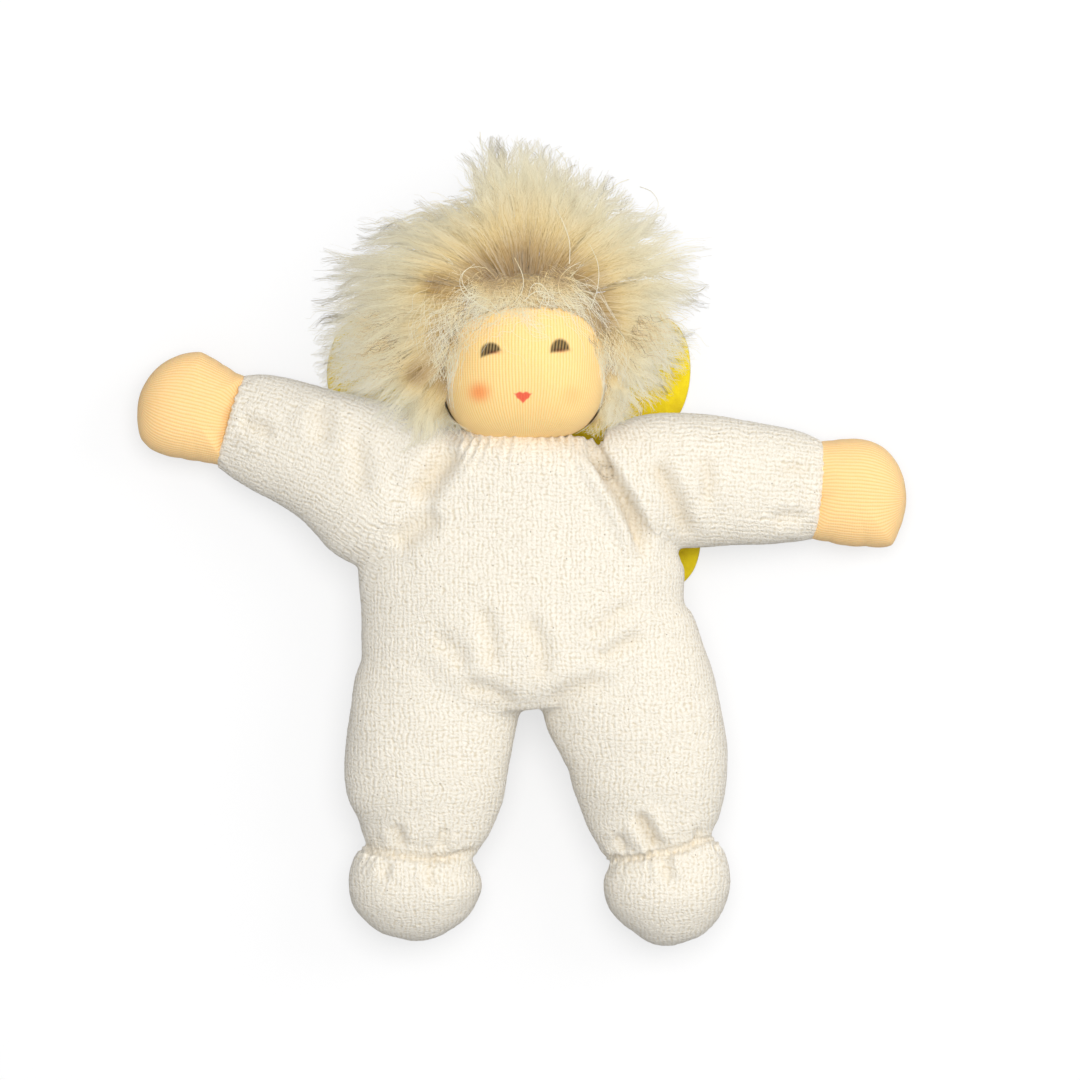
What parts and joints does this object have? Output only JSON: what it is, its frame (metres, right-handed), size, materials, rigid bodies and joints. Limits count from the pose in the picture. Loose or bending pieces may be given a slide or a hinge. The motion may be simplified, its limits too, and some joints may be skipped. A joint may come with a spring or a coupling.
{
  "type": "waldorf doll",
  "caption": "Soft stuffed cloth doll in a terry suit with jersey head and hands, pile wig and felt wings; limbs, head and wings fold.",
  "frame": {"origin": "on the floor under the middle of the seat, where the torso lies flat", "axes": "+X to the doll's left, +Y to its crown, +Z to its front, away from the floor"},
  "size_m": [0.2788, 0.2901, 0.0615],
  "materials": {
    "terry": "looped cotton terry",
    "jersey": "fine ribbed cotton jersey",
    "wool_filling": "carded wool",
    "pile": "long wool pile on a knitted backing",
    "felt": "fuzzy wool felt",
    "thread": "cotton thread"
  },
  "bodies": {
    "torso": {"torso_cover": "terry", "torso_stuffing": "wool_filling", "wing_band": "felt"},
    "neck": {"neck_core": "jersey", "collar_thread": "thread"},
    "head": {"head_skin": "jersey", "head_core": "wool_filling", "hair": "pile"},
    "arm_left": {"sleeve_left": "terry", "arm_stuffing_left": "wool_filling", "hand_left": "jersey", "hand_stuffing_left": "wool_filling"},
    "arm_right": {"sleeve_right": "terry", "arm_stuffing_right": "wool_filling", "hand_right": "jersey", "hand_stuffing_right": "wool_filling"},
    "leg_left": {"leg_left": "terry", "leg_stuffing_left": "wool_filling", "ankle_thread_left": "thread"},
    "foot_left": {"foot_left": "terry", "foot_stuffing_left": "wool_filling"},
    "leg_right": {"leg_right": "terry", "leg_stuffing_right": "wool_filling", "ankle_thread_right": "thread"},
    "foot_right": {"foot_right": "terry", "foot_stuffing_right": "wool_filling"},
    "wing_left": {"wing_left": "felt"},
    "wing_right": {"wing_right": "felt"}
  },
  "joints": [
    {"name": "neck_turn", "type": "hinge", "parent": "torso", "child": "neck", "pos_m": [0.0013, 0.057, 0.032], "axis": [0, 1, 0], "range_deg": [-60, 60], "stiffness_Nm_per_rad": 0.01},
    {"name": "head_nod", "type": "hinge", "parent": "neck", "child": "head", "pos_m": [0.0013, 0.057, 0.032], "axis": [1, 0, 0], "range_deg": [-10, 15], "stiffness_Nm_per_rad": 0.02, "deforming": ["hair"]},
    {"name": "shoulder_left", "type": "hinge", "parent": "torso", "child": "arm_left", "pos_m": [0.049, 0.0395, 0.0375], "axis": [0, -1, 0], "range_deg": [0, 90], "stiffness_Nm_per_rad": 0.006},
    {"name": "shoulder_right", "type": "hinge", "parent": "torso", "child": "arm_right", "pos_m": [-0.049, 0.0395, 0.0375], "axis": [0, 1, 0], "range_deg": [0, 90], "stiffness_Nm_per_rad": 0.006},
    {"name": "hip_left", "type": "hinge", "parent": "torso", "child": "leg_left", "pos_m": [0.0378, -0.0367, 0.0418], "axis": [-1, 0, 0], "range_deg": [0, 90], "stiffness_Nm_per_rad": 0.01},
    {"name": "ankle_left", "type": "hinge", "parent": "leg_left", "child": "foot_left", "pos_m": [0.04896, -0.09413, 0.0378], "axis": [-0.9816, -0.1908, 0], "range_deg": [0, 60], "stiffness_Nm_per_rad": 0.004},
    {"name": "hip_right", "type": "hinge", "parent": "torso", "child": "leg_right", "pos_m": [-0.0312, -0.0367, 0.0418], "axis": [-1, 0, 0], "range_deg": [0, 90], "stiffness_Nm_per_rad": 0.01},
    {"name": "ankle_right", "type": "hinge", "parent": "leg_right", "child": "foot_right", "pos_m": [-0.03772, -0.09484, 0.0378], "axis": [-0.9938, 0.1115, 0], "range_deg": [0, 60], "stiffness_Nm_per_rad": 0.004},
    {"name": "wing_flap_left", "type": "hinge", "parent": "torso", "child": "wing_left", "pos_m": [-0.0003, 0, 0], "axis": [0, 1, 0], "range_deg": [0, 80], "stiffness_Nm_per_rad": 0.001},
    {"name": "wing_flap_right", "type": "hinge", "parent": "torso", "child": "wing_right", "pos_m": [-0.0069, 0, 0], "axis": [0, -1, 0], "range_deg": [0, 80], "stiffness_Nm_per_rad": 0.001}
  ]
}
